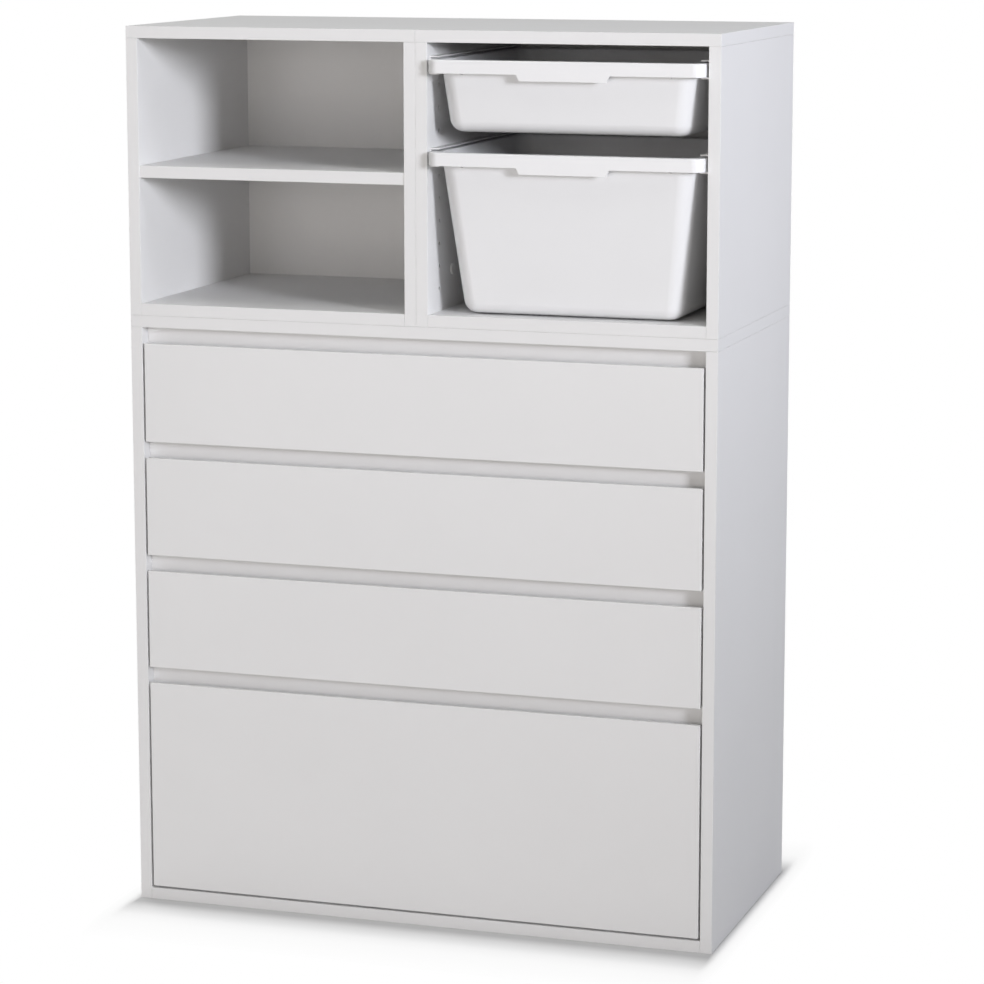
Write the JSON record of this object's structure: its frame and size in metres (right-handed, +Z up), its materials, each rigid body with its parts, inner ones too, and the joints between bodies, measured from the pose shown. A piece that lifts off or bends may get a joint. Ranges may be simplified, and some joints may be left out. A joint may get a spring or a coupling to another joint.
{
  "type": "drawer and cube storage tower",
  "caption": "White craft storage tower: a chest of wide flat drawers for large sheets of paper, with open cubes on top, one with a shelf and one with hanging pull-out bins.",
  "frame": {"origin": "on the floor, under the middle of the whole outline including the bins that overhang the front", "axes": "+Z up, -Y towards the user (the drawers open along -Y), +X to the user's right"},
  "size_m": [0.76, 0.382, 1.118],
  "materials": {
    "white_board": "white melamine, satin",
    "white_hardboard": "white painted hardboard",
    "slide_steel": "white powder coat",
    "roller_nylon": "moulded nylon",
    "bin_plastic": "white polypropylene, satin",
    "channel_plastic": "white plastic, satin",
    "dowel_wood": "bare beech"
  },
  "bodies": {
    "cabinet": {"chest_top": "white_board", "chest_bottom": "white_board", "chest_left_side": "white_board", "chest_right_side": "white_board", "chest_back": "white_hardboard", "cross_rail_1": "white_board", "cross_rail_2": "white_board", "cross_rail_3": "white_board", "cross_rail_4": "white_board", "left_cube_top": "white_board", "left_cube_bottom": "white_board", "left_cube_left_side": "white_board", "left_cube_right_side": "white_board", "left_cube_back": "white_hardboard", "right_cube_top": "white_board", "right_cube_bottom": "white_board", "right_cube_left_side": "white_board", "right_cube_right_side": "white_board", "right_cube_back": "white_hardboard", "left_cube_shelf": "white_board", "left_slide_tracks": "slide_steel", "right_slide_tracks": "slide_steel", "bin_channels": "channel_plastic", "panel_dowels": "dowel_wood", "stacking_pins": "dowel_wood", "joining_screws": "slide_steel"},
    "drawer_1": {"drawer_1_front": "white_board", "drawer_1_left_side": "white_board", "drawer_1_right_side": "white_board", "drawer_1_back": "white_board", "drawer_1_bottom": "white_hardboard", "drawer_1_slides": "slide_steel"},
    "front_rollers_1": {"drawer_1_front_rollers": "roller_nylon"},
    "rear_rollers_1": {"drawer_1_rear_rollers": "roller_nylon"},
    "drawer_2": {"drawer_2_front": "white_board", "drawer_2_left_side": "white_board", "drawer_2_right_side": "white_board", "drawer_2_back": "white_board", "drawer_2_bottom": "white_hardboard", "drawer_2_slides": "slide_steel"},
    "front_rollers_2": {"drawer_2_front_rollers": "roller_nylon"},
    "rear_rollers_2": {"drawer_2_rear_rollers": "roller_nylon"},
    "drawer_3": {"drawer_3_front": "white_board", "drawer_3_left_side": "white_board", "drawer_3_right_side": "white_board", "drawer_3_back": "white_board", "drawer_3_bottom": "white_hardboard", "drawer_3_slides": "slide_steel"},
    "front_rollers_3": {"drawer_3_front_rollers": "roller_nylon"},
    "rear_rollers_3": {"drawer_3_rear_rollers": "roller_nylon"},
    "drawer_4": {"drawer_4_front": "white_board", "drawer_4_left_side": "white_board", "drawer_4_right_side": "white_board", "drawer_4_back": "white_board", "drawer_4_bottom": "white_hardboard", "drawer_4_slides": "slide_steel"},
    "front_rollers_4": {"drawer_4_front_rollers": "roller_nylon"},
    "rear_rollers_4": {"drawer_4_rear_rollers": "roller_nylon"},
    "shallow_bin": {"shallow_bin": "bin_plastic"},
    "deep_bin": {"deep_bin": "bin_plastic"}
  },
  "joints": [
    {"name": "drawer_1_slide", "type": "slide", "parent": "cabinet", "child": "drawer_1", "axis": [0, -1, 0], "range_m": [0, 0.225]},
    {"name": "front_rollers_1_spin", "type": "hinge", "parent": "cabinet", "child": "front_rollers_1", "pos_m": [0, -0.148, 0.61725], "axis": [1, 0, 0], "range_deg": [0, 1613]},
    {"name": "rear_rollers_1_spin", "type": "hinge", "parent": "drawer_1", "child": "rear_rollers_1", "pos_m": [0, 0.128, 0.61575], "axis": [1, 0, 0], "range_deg": [0, 1613]},
    {"name": "drawer_2_slide", "type": "slide", "parent": "cabinet", "child": "drawer_2", "axis": [0, -1, 0], "range_m": [0, 0.225]},
    {"name": "front_rollers_2_spin", "type": "hinge", "parent": "cabinet", "child": "front_rollers_2", "pos_m": [0, -0.148, 0.47175], "axis": [1, 0, 0], "range_deg": [0, 1613]},
    {"name": "rear_rollers_2_spin", "type": "hinge", "parent": "drawer_2", "child": "rear_rollers_2", "pos_m": [0, 0.128, 0.47025], "axis": [1, 0, 0], "range_deg": [0, 1613]},
    {"name": "drawer_3_slide", "type": "slide", "parent": "cabinet", "child": "drawer_3", "axis": [0, -1, 0], "range_m": [0, 0.225]},
    {"name": "front_rollers_3_spin", "type": "hinge", "parent": "cabinet", "child": "front_rollers_3", "pos_m": [0, -0.148, 0.32625], "axis": [1, 0, 0], "range_deg": [0, 1613]},
    {"name": "rear_rollers_3_spin", "type": "hinge", "parent": "drawer_3", "child": "rear_rollers_3", "pos_m": [0, 0.128, 0.32475], "axis": [1, 0, 0], "range_deg": [0, 1613]},
    {"name": "drawer_4_slide", "type": "slide", "parent": "cabinet", "child": "drawer_4", "axis": [0, -1, 0], "range_m": [0, 0.225]},
    {"name": "front_rollers_4_spin", "type": "hinge", "parent": "cabinet", "child": "front_rollers_4", "pos_m": [0, -0.148, 0.03725], "axis": [1, 0, 0], "range_deg": [0, 1613]},
    {"name": "rear_rollers_4_spin", "type": "hinge", "parent": "drawer_4", "child": "rear_rollers_4", "pos_m": [0, 0.128, 0.03575], "axis": [1, 0, 0], "range_deg": [0, 1613]},
    {"name": "shallow_bin_slide", "type": "slide", "parent": "cabinet", "child": "shallow_bin", "axis": [0, -1, 0], "range_m": [0, 0.36]},
    {"name": "deep_bin_slide", "type": "slide", "parent": "cabinet", "child": "deep_bin", "axis": [0, -1, 0], "range_m": [0, 0.36]}
  ],
  "couplings": [
    {"joint": "front_rollers_1_spin", "follows": "drawer_1_slide", "rad_per_m": 125},
    {"joint": "rear_rollers_1_spin", "follows": "drawer_1_slide", "rad_per_m": 125},
    {"joint": "front_rollers_2_spin", "follows": "drawer_2_slide", "rad_per_m": 125},
    {"joint": "rear_rollers_2_spin", "follows": "drawer_2_slide", "rad_per_m": 125},
    {"joint": "front_rollers_3_spin", "follows": "drawer_3_slide", "rad_per_m": 125},
    {"joint": "rear_rollers_3_spin", "follows": "drawer_3_slide", "rad_per_m": 125},
    {"joint": "front_rollers_4_spin", "follows": "drawer_4_slide", "rad_per_m": 125},
    {"joint": "rear_rollers_4_spin", "follows": "drawer_4_slide", "rad_per_m": 125}
  ]
}
